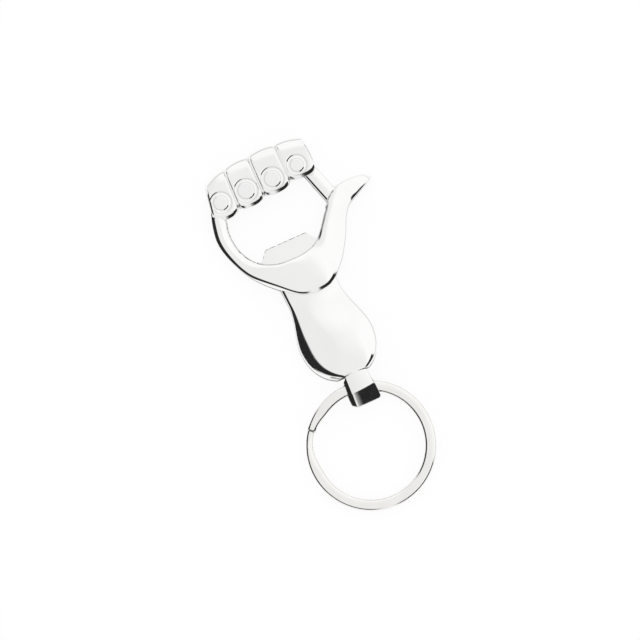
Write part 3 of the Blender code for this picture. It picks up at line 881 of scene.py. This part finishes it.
    def _finger(self, finger: Finger) -> bpy.types.Object:
        """Run one curled finger across its width: a tip over the opening, a flat front and a knuckle.

        Args:
            finger: The finger's sizes.

        Returns:
            The finger's body.
        """
        steps = 28
        width = self._finger_width(finger)
        shares = {(1 + step) / 2 for step in bunched(steps)}
        creases = {run / width for run in (self.flank_run, self.flank_foot_run)}
        shares |= creases | {1 - crease for crease in creases}
        sections = [self._finger_section(finger, share) for share in sorted(shares)]
        return Bench.extrude_through("finger", sections)

    def _finger_width(self, finger: Finger) -> float:
        """Return a finger's width, with its overlap on both sides."""
        return (finger.right_low - finger.left_low) * MM + 2 * self.finger_overlap

    def _finger_section(self, finger: Finger, share: float) -> Section:
        """Draw a finger's section along Y.

        Args:
            finger: The finger's sizes.
            share: The share of its width, from left to right.

        Returns:
            The points from the tip's foot over the front to the knuckle's foot.
        """
        across = abs(2 * share - 1)
        lobe = (1 - across**self.lobe_power) ** (1 / self.lobe_power)
        notch = blend(finger.left_notch, finger.right_notch, share)
        low = blend(notch, finger.tip, lobe) * MM
        knuckle = blend(finger.knuckle_left, finger.knuckle_right, share) * MM
        top = knuckle + self.finger_crown * (1 - across**2)
        front = finger.height * MM - self._side_fall(finger, share)
        steps = 32
        rim = self.crown.rim
        rows = []
        for step in bunched(steps):
            up = (1 + step) / 2
            y = blend(low + rim, top, up)
            tip_fall = self.tip_drop * max(1 - (y - low) / self.tip_run, 0.0) ** 2
            knuckle_fall = self.knuckle_drop * max(1 - (top - y) / self.knuckle_run, 0.0) ** 2
            rows.append((y, front - self.front_fall * (1 - up) - tip_fall - knuckle_fall))
        foot = (low + self.tip_undercut, -self.crown.stock)
        edge = (low, rows[0][1] - 2 * rim)
        section = []
        for y, z in (foot, edge, *rows, (top, -self.crown.stock)):
            along = (y / MM - finger.tip) / (finger.knuckle_left - finger.tip)
            left = blend(finger.left_low, finger.left_top, along) * MM - self.finger_overlap
            right = blend(finger.right_low, finger.right_top, along) * MM + self.finger_overlap
            section.append(Vector((blend(left, right, share), y, z)))
        return section

    def _side_fall(self, finger: Finger, share: float) -> float:
        """Tell how far a finger's front falls towards its sides.

        Args:
            finger: The finger's sizes.
            share: The share of its width, from left to right.

        Returns:
            The fall.
        """
        width = self._finger_width(finger)
        sides = ((share * width, self.fingers[0]), ((1 - share) * width, self.fingers[-1]))
        fall = 0.0
        for inset, outside in sides:
            fall += self._flank_fall(inset) if finger is outside else self._divider_fall(inset)
        return fall

    def _divider_fall(self, inset: float) -> float:
        """Return how far a finger's front falls beside the next finger."""
        return self.divider_drop * max(1 - inset / self.divider_run, 0.0) ** 2

    def _flank_fall(self, inset: float) -> float:
        """Return how far an outer finger's front falls over its bevelled flank."""
        foot = self.flank_foot_slope * max(self.flank_foot_run - inset, 0.0)
        return foot + self.flank_slope * max(self.flank_run - inset, 0.0)

    def _press_nail(self, piece: bpy.types.Object, finger: Finger) -> None:
        """Subdivide a finger's front and press a ring groove into it, so that the nail stands as a disc.

        Args:
            piece: The finger's body.
            finger: The finger's sizes.
        """
        x, y, radius = mm(*finger.nail)
        centre = Vector((x, y))
        middle = radius + self.nail_groove_width * self.nail_groove_shift
        floor = finger.height * MM - self.nail_front_depth
        reach = radius + self.nail_groove_width * self.nail_reach

        def on_nail(point: Vector) -> bool:
            """Tell whether a face lies on the finger's front, near its nail."""
            return point.z > floor and (point.xy - centre).length < reach

        Bench.pick(piece)
        bpy.ops.object.mode_set(mode="EDIT")
        bpy.ops.mesh.select_mode(type="FACE")
        Bench.select_faces(piece, on_nail)
        bpy.ops.mesh.subdivide(number_cuts=self.nail_cuts)
        shape = bmesh.from_edit_mesh(piece.data)
        shape.normal_update()
        for corner in shape.verts:
            away = abs((corner.co.xy - centre).length - middle) / (self.nail_groove_width / 2)
            if corner.normal.z > self.nail_front_normal and away < 1.0:
                corner.co.z -= self.nail_groove_depth * (1 - away**2) ** 2
        bmesh.update_edit_mesh(piece.data)
        bpy.ops.object.mode_set(mode="OBJECT")


@dataclass
class SwivelRivet(SubAssembly):
    """The headed rivet in the heel of the forearm, on which the link turns."""

    name: str = "turned_rivet"
    node: str = "swivel_rivet"
    body: str = "casting"
    slot: str = "rivet_steel"
    centre: tuple[float, float, float] = mm(1.35, -14.15, 3.268)
    profile: tuple[tuple[float, float], ...] = (
        (0.5, -1.15), (1.0, -1.22), (1.3, -1.32), (1.5, -1.35), (2.05, -1.35), (2.2, -1.28),
        (1.22, -0.33), (1.2, -0.25), (1.2, 6.3), (1.0, 6.5),
    )
    sides: int = 48
    smooth_angle: float = 35.0

    def build(self) -> bpy.types.Object:
        """Draw the rivet from the dimple in its head, over the countersunk head, along its shank.

        Returns:
            The finished rivet.
        """
        rivet = turned_body(self.name, self.centre, self.profile, self.sides)
        Bench.shade(rivet, self.smooth_angle)
        return rivet


@dataclass
class SwivelLink(SubAssembly):
    """The strap-like link that turns on the rivet and holds the ring in its window."""

    name: str = "strap_link"
    node: str = "swivel_link"
    body: str = "link"
    slot: str = "plated_link"
    centre_x: float = 1.35 * MM
    centre_z: float = 3.268 * MM
    near_y: float = -14.25 * MM
    far_y: float = -22.554 * MM
    width: float = 7.6 * MM
    flare: float = 0.13
    left_edge: tuple[float, float] = mm(1.15, 0.78)
    right_edge: tuple[float, float] = mm(0.45, 0.34)
    near_bow: float = 0.45 * MM
    pillow: float = 0.08 * MM
    slope_pillow: float = 0.12 * MM
    slope_crown: float = -0.5
    slope_draw: float = 0.35
    slope_reach: float = 3.07 * MM
    slope: float = math.radians(33.0)
    nose_round: float = 0.9 * MM
    window_near_y: float = -15.5 * MM
    window_far_y: float = -21.154 * MM
    window_half: float = 2.318 * MM
    window_near_round: float = 0.4 * MM
    window_far_round: float = 2.3 * MM
    hole_profile: tuple[tuple[float, float], ...] = (
        (1.5, 0.6), (1.5, -0.35), (2.5, -1.35), (2.5, -1.55),
    )
    hole_sides: int = 48
    rim: float = 0.05 * MM
    rim_angle: float = 40.0
    smooth_angle: float = 30.0
    face_weight: int = 100

    def build(self) -> bpy.types.Object:
        """Model the link: a chamfered strap with a sloped far end, a window and a countersunk hole.

        Returns:
            The finished link.
        """
        steps = 40
        sections = []
        for across in bunched(steps):
            run, drop = self.right_edge if across > 0 else self.left_edge
            draw_in = drop * max(1 - self.width / 2 * (1 - abs(across)) / run, 0.0)
            draw_in += self.pillow * across**2
            sections.append(self._strap_section(across, draw_in))
        link = Bench.extrude_through(self.name, sections)
        Bench.cut(link, self._window())
        Bench.cut(link, self._hole())
        Bench.bevel(link, self.rim, self.rim_angle)
        Bench.shade(link, self.smooth_angle)
        Bench.apply(link, "WEIGHTED_NORMAL", weight=self.face_weight, keep_sharp=True)
        return link

    def _strap_section(self, across: float, draw_in: float) -> Section:
        """Draw the link's outline, seen from its side.

        Args:
            across: The share of its half width, from -1 at the left to 1 at the right.
            draw_in: How far the outline is drawn in towards its middle.

        Returns:
            The points round the outline.
        """
        half = self.centre_z - draw_in
        axis_y = SplitRing.swing_axis[1]
        slope_reach = self.slope_reach - self.slope_draw * draw_in
        slope_reach -= self.slope_pillow * (across - self.slope_crown) ** 2
        nose_y = self.far_y + draw_in + self.nose_round
        nose_z = self._nose_rise(axis_y - nose_y, slope_reach)
        bend_y = axis_y - (slope_reach - half * math.cos(self.slope)) / math.sin(self.slope)
        top = [(self.near_y - draw_in - self.near_bow * across**2, half), (bend_y, half)]
        steps = 10
        for step in range(steps + 1):
            angle = (math.pi / 2 - self.slope) * (1 - step / steps)
            y = nose_y - self.nose_round * math.cos(angle)
            top.append((y, nose_z + self.nose_round * math.sin(angle)))
        section = []
        for y, z in top + [(y, -z) for y, z in reversed(top)]:
            narrowing = 1 - self.flare * (y - self.far_y) / (self.near_y - self.far_y)
            x = self.centre_x + across * narrowing * self.width / 2
            section.append(Vector((x, y, self.centre_z + z)))
        return section

    def _nose_rise(self, past_axis: float, slope_reach: float) -> float:
        """Return how high over the middle the nose's rounding is centred, to meet the slope."""
        reach = slope_reach - self.nose_round - past_axis * math.sin(self.slope)
        return max(reach / math.cos(self.slope), 0.0)

    def _window(self) -> bpy.types.Object:
        """Make the cutter of the window, which runs right through the link's width.

        Returns:
            The cutter.
        """
        corners = (
            (self.window_near_y, -1.0, 1.0, self.window_near_round, 0.0),
            (self.window_far_y, 1.0, 1.0, self.window_far_round, 90.0),
            (self.window_far_y, 1.0, -1.0, self.window_far_round, 180.0),
            (self.window_near_y, -1.0, -1.0, self.window_near_round, 270.0),
        )
        steps = 8
        sections = []
        for side in (-1.0, 1.0):
            section = []
            for edge_y, inward, rise, radius, start in corners:
                for step in range(steps + 1):
                    angle = math.radians(start + 90.0 * step / steps)
                    y = edge_y + inward * radius + radius * math.cos(angle)
                    z = self.centre_z + rise * (self.window_half - radius) + radius * math.sin(angle)
                    section.append(Vector((self.centre_x + side * self.width, y, z)))
            sections.append(section)
        return Bench.extrude_through("link_window", sections)

    def _hole(self) -> bpy.types.Object:
        """Make the cutter of the countersunk hole that the rivet's head sits in."""
        return turned_body("rivet_hole", SwivelRivet.centre, self.hole_profile, self.hole_sides)


@dataclass
class SplitRing(SubAssembly):
    """The key ring: a flat wire wound in two turns that lie on each other."""

    name: str = "wound_ring"
    node: str = "split_ring"
    body: str = "ring"
    slot: str = "ring_steel"
    swing_axis: tuple[float, float, float] = mm(1.35, -18.327, 3.268)
    lean: float = math.radians(14.0)
    droop: float = math.radians(4.17)
    outer_radius: float = 16.0 * MM
    band_width: float = 2.65 * MM
    band_thickness: float = 1.0 * MM
    turn_gap: float = 0.15 * MM
    chamfer_width: float = 0.42 * MM
    chamfer_depth: float = 0.36 * MM
    end_chamfer: float = 0.4 * MM
    axis_inset: float = 0.5 * MM
    split: float = math.radians(144.0)
    jog: float = math.radians(41.0)
    end_gap: float = math.radians(1.2)
    neck_inner_cut: float = 0.95 * MM
    neck_outer_cut: float = 0.05 * MM
    neck_run_in: float = math.radians(26.0)
    neck_level: float = math.radians(8.0)
    end_taper: float = 0.75 * MM
    end_taper_run: float = math.radians(24.0)
    rim: float = 0.04 * MM
    rim_angle: float = 25.0
    smooth_angle: float = 35.0
    steps: int = 260

    def place(self) -> Matrix:
        """Return the turn and shift that carry the ring from its own frame to its link."""
        turn = Matrix.Rotation(-self.lean, 4, "Z") @ Matrix.Rotation(self.droop, 4, "X")
        return Matrix.Translation(self.swing_axis) @ turn

    def centre(self) -> Vector:
        """Return the middle of the ring in its own frame, which starts at the swing axis."""
        return Vector((0.0, -(self.outer_radius - self.band_width / 2 - self.axis_inset), 0.0))

    def build(self) -> bpy.types.Object:
        """Draw the flat wire through its two turns.

        Returns:
            The finished ring.
        """
        first = self.split + self.lean + self.jog - 2 * math.pi + self.end_gap
        last = self.split + self.lean + 2 * math.pi - self.end_gap
        place = self.place()
        sections = []
        for step in range(self.steps + 1):
            angle = blend(first, last, step / self.steps)
            sections.append([place @ point for point in self._band_section(angle, first, last)])
        ring = Bench.extrude_through(self.name, sections)
        Bench.bevel(ring, self.rim, self.rim_angle)
        Bench.shade(ring, self.smooth_angle)
        return ring

    def _band_section(self, angle: float, first: float, last: float) -> Section:
        """Draw the wire's section in the ring's own frame.

        Args:
            angle: The angle round the ring.
            first: The angle where the wire starts.
            last: The angle where the wire ends.

        Returns:
            The points round the section.
        """
        split = self.split + self.lean
        level = (self.band_thickness + self.turn_gap) / 2
        height = ease(-level, level, (angle - split) / self.jog)
        run_in = ease(0.0, 1.0, (angle - split + self.neck_run_in) / self.neck_run_in)
        run_out = ease(1.0, 0.0, (angle - split - self.neck_level) / (self.jog - self.neck_level))
        neck = run_in * run_out
        taper = ease(self.end_taper, 0.0, min(angle - first, last - angle) / self.end_taper_run)
        inner = self.outer_radius - self.band_width + self.neck_inner_cut * neck + taper
        outer = self.outer_radius - self.neck_outer_cut * neck
        from_end = min(angle - first, last - angle) * self.outer_radius
        half = self.band_thickness / 2 - self.chamfer_depth * max(1 - from_end / self.end_chamfer, 0.0)
        side = half - self.chamfer_depth
        profile = (
            (inner, -side),
            (inner + self.chamfer_width, -half),
            (outer - self.chamfer_width, -half),
            (outer, -side),
            (outer, side),
            (outer - self.chamfer_width, half),
            (inner + self.chamfer_width, half),
            (inner, side),
        )
        direction = Vector((math.cos(angle), math.sin(angle), 0.0))
        centre = self.centre() + lift(height)
        return [centre + direction * reach + lift(rise) for reach, rise in profile]


@dataclass(frozen=True)
class Flag:
    """A dark or grey card beside the table that the metal mirrors, by its bearing and height in degrees."""

    bearing: float
    half_width: float
    bottom: float
    top: float
    soft: float
    level: float

    def mask(self, x: Value, y: Value, z: Value) -> Value:
        """Tell how much of the card lies in each direction of the world.

        Args:
            x: The direction's X.
            y: The direction's Y.
            z: The direction's Z.

        Returns:
            The mask of the card.
        """
        bearing = math.radians(self.bearing)
        toward = (x * math.cos(bearing) + y * math.sin(bearing)) / (x * x + y * y + TINY) ** 0.5
        wide = math.cos(math.radians(self.half_width + self.soft))
        narrow = math.cos(math.radians(max(self.half_width - self.soft, 0.0)))
        blur = self.soft / 2
        heights = (self.bottom - blur, self.bottom + blur, self.top + blur, self.top - blur)
        edges = [math.sin(math.radians(height)) for height in heights]
        return toward.step(wide, narrow) * z.step(*edges[:2]) * z.step(*edges[2:])


@dataclass
class Studio:
    """A pale table under soft light, seen nearly straight from above."""

    floor_size: float = 1.2
    floor_drop: float = 0.02 * MM
    floor_glow: float = 0.9
    floor_paint: float = 0.92
    contact_reach: float = 1.2 * MM
    contact_power: float = 3.0
    frame_width: float = 158.02 * MM
    aim: tuple[float, float, float] = mm(-0.62, 1.63, 0.0)
    picture_turn: float = math.radians(24.3)
    tilt: float = math.radians(7.0)
    distance: float = 1.0
    sensor: float = 36.0
    sky: float = 1.03
    wash_bearing: float = math.radians(196.0)
    wash_level: float = 0.9
    wash_edge: tuple[float, float] = (-0.2, -0.02)
    flags: tuple[Flag, ...] = (
        Flag(20.0, 95.0, -10.0, 6.0, 6.0, 0.6),
        Flag(188.0, 66.0, 4.0, 30.0, 6.0, 0.02),
        Flag(168.0, 32.0, -10.0, 24.0, 8.0, 0.02),
        Flag(297.0, 25.0, -10.0, 42.0, 3.0, 0.02),
    )
    lamp_place: tuple[float, float, float] = (0.1, 0.1, 0.8)
    lamp_size: float = 0.8
    lamp_power: float = 1.0

    def build(self) -> None:
        """Set up the floor, the world, the lamp, the camera and the view."""
        self._floor()
        self._world()
        self._lamp()
        self._camera()
        bpy.context.scene.view_settings.view_transform = "Standard"

    def _floor(self) -> None:
        """Lay the pale floor just under the part."""
        Bench.clear_selection()
        bpy.ops.mesh.primitive_plane_add(size=self.floor_size, location=(0.0, 0.0, -self.floor_drop))
        floor = bpy.context.object
        floor.name = "pale_floor"
        material = bpy.data.materials.new("pale_floor")
        graph = Graph(material)
        seen = self._seen_rays(graph)
        paint = graph.node("ShaderNodeBsdfDiffuse", {}, {"Color": self._grey(self.floor_paint)})
        contact = graph.node("ShaderNodeAmbientOcclusion", {}, {"Distance": self.contact_reach}, "AO")
        mirrored = graph.node("ShaderNodeLightPath", {}, {}, "Is Glossy Ray")
        shadow = mirrored * (1.0 - contact**self.contact_power)
        tone = graph.mix(shadow, WHITE, BLACK)
        glow = graph.node("ShaderNodeEmission", {}, {"Color": tone, "Strength": 1.0})
        mixed = graph.node("ShaderNodeMixShader", {}, {0: seen * self.floor_glow, 1: paint, 2: glow})
        graph.node("ShaderNodeOutputMaterial", {}, {"Surface": mixed})
        floor.data.materials.append(material)

    @staticmethod
    def _grey(level: float) -> tuple[float, float, float, float]:
        """Return a grey of a level."""
        return (level, level, level, 1.0)

    @staticmethod
    def _seen_rays(graph: Graph) -> Value:
        """Pick the rays that carry what the camera sees, straight or by a mirror.

        Args:
            graph: The material's tree.

        Returns:
            1 for such rays, and 0 for the others.
        """
        camera = graph.node("ShaderNodeLightPath", {}, {}, "Is Camera Ray")
        rays = camera.socket.node.outputs
        return camera | Value(graph, rays["Is Glossy Ray"]) | Value(graph, rays["Is Transmission Ray"])

    def _world(self) -> None:
        """Surround the table with a pale sky and the cards that the metal mirrors."""
        world = bpy.data.worlds.new("pale_studio")
        graph = Graph(world)
        x, y, z = graph.parts(graph.node("ShaderNodeTexCoord", {}, {}, "Generated"))
        toward_wash = x * math.cos(self.wash_bearing) + y * math.sin(self.wash_bearing)
        wash = toward_wash.step(*self.wash_edge)
        colour = graph.mix(wash, self._grey(self.sky), self._grey(self.wash_level))
        for flag in self.flags:
            colour = graph.mix(flag.mask(x, y, z), colour, self._grey(flag.level))
        mirrored = graph.node("ShaderNodeBackground", {}, {"Color": colour, "Strength": 1.0})
        plain = graph.node("ShaderNodeBackground", {}, {"Color": WHITE, "Strength": 1.0})
        glossy = graph.node("ShaderNodeLightPath", {}, {}, "Is Glossy Ray")
        surface = graph.node("ShaderNodeMixShader", {}, {0: glossy, 1: plain, 2: mirrored})
        graph.node("ShaderNodeOutputWorld", {}, {"Surface": surface})
        bpy.context.scene.world = world

    def _lamp(self) -> None:
        """Hang one large soft lamp over the right of the table."""
        bpy.ops.object.light_add(type="AREA", location=self.lamp_place)
        lamp = bpy.context.object
        lamp.name = "soft_lamp"
        lamp.data.size = self.lamp_size
        lamp.data.energy = self.lamp_power
        lamp.rotation_euler = (-Vector(self.lamp_place)).to_track_quat("-Z", "Y").to_euler()
        lamp.visible_glossy = False

    def _camera(self) -> None:
        """Stand the camera over the part, leaning towards the lower edge of the picture."""
        right = Vector((math.cos(self.picture_turn), -math.sin(self.picture_turn), 0.0))
        upward = Vector((math.sin(self.picture_turn), math.cos(self.picture_turn), 0.0))
        back = Vector((0.0, 0.0, math.cos(self.tilt))) - upward * math.sin(self.tilt)
        axes = Matrix((right, back.cross(right), back)).transposed().to_4x4()
        bpy.ops.object.camera_add()
        camera = bpy.context.object
        camera.name = "photo_camera"
        camera.matrix_world = Matrix.Translation(Vector(self.aim) + back * self.distance) @ axes
        camera.data.sensor_width = self.sensor
        camera.data.lens = self.sensor * self.distance / self.frame_width
        bpy.context.scene.camera = camera


class Finish(Enum):
    """The finishes of the opener's pieces."""

    CAST_CHROME = PlateFinish(
        "cast_chrome", (0.95, 0.95, 0.945), (0.92, 0.92, 0.915), 0.05, 0.03, 0.25, 0.05,
        tuple(mm(*finger.nail) for finger in OpenerCasting.fingers),
    )
    LINK_CHROME = PlateFinish(
        "link_chrome", (0.94, 0.94, 0.935), (0.9, 0.9, 0.89), 0.05, 0.04, 0.2, 0.06
    )
    RING_NICKEL = RoundGrainFinish(
        "drawn_ring_nickel", (0.94, 0.935, 0.915), (0.9, 0.89, 0.865), 0.1, 0.06, 0.3, 9000.0,
        tuple(SplitRing().place() @ SplitRing().centre()), (SplitRing.droop, 0.0, -SplitRing.lean),
    )
    RIVET_STEEL = RoundGrainFinish(
        "turned_rivet_steel", (0.8, 0.8, 0.79), (0.68, 0.68, 0.67), 0.16, 0.1, 0.4, 7000.0,
        SwivelRivet.centre, (math.radians(-90.0), 0.0, 0.0),
    )


def main() -> None:
    """Build the pieces in order, set up the studio and log each piece's face count."""
    logging.basicConfig(level=logging.INFO, format="%(name)s: %(message)s")
    makers: tuple[tuple[SubAssembly, Finish], ...] = (
        (OpenerCasting(), Finish.CAST_CHROME),
        (SwivelRivet(), Finish.RIVET_STEEL),
        (SwivelLink(), Finish.LINK_CHROME),
        (SplitRing(), Finish.RING_NICKEL),
    )
    for maker, finish in makers:
        maker.dress(maker.build(), finish)
    Studio().build()


if __name__ == "__main__":
    main()
